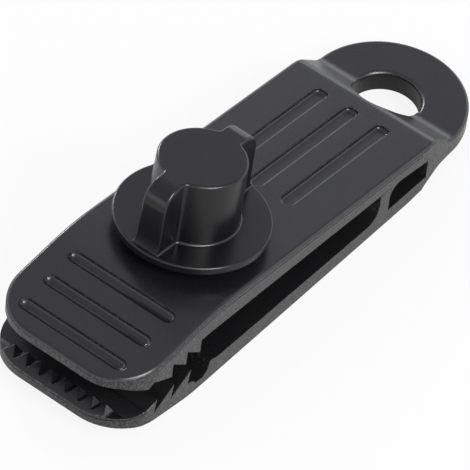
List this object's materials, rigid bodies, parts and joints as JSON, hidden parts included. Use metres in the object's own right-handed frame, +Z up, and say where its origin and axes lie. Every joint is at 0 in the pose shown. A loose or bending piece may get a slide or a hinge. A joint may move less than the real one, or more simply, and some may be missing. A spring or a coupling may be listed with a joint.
{
  "type": "tarp clip",
  "caption": "Black plastic tarp clip: toothed jaws drawn together by a winged thumb knob, flexing web at the rear and an eyelet for a rope.",
  "frame": {"origin": "middle of the clip's footprint, on the plane of the lower plate's flat underside", "axes": "+X from the toothed nose to the eyelet, +Y across the width, +Z up from the underside to the knob"},
  "size_m": [0.1084, 0.031, 0.0329],
  "materials": {
    "body": "fine satin moulded nylon",
    "knob": "fine satin moulded nylon",
    "screw": "plain zinc-plated steel",
    "nut": "plain zinc-plated steel"
  },
  "bodies": {
    "base": {"lower_jaw": "body", "captive_nut": "nut", "flex_web": "body", "rear_leaf": "body"},
    "jaw": {"upper_jaw": "body"},
    "knob": {"thumb_knob": "knob", "knob_screw": "screw"}
  },
  "joints": [
    {"name": "jaw_close", "type": "hinge", "parent": "base", "child": "jaw", "pos_m": [0.0184, 0, 0.006], "axis": [0, -1, 0], "range_deg": [0, 2.5], "deforming": ["flex_web", "rear_leaf"]},
    {"name": "knob_turn", "type": "hinge", "parent": "jaw", "child": "knob", "pos_m": [-0.0179, 0, 0.01554], "axis": [-0.0958, 0, -0.9954], "range_deg": [0, 570]}
  ],
  "couplings": [
    {"joint": "jaw_close", "follows": "knob_turn", "ratio": 0.004386}
  ]
}
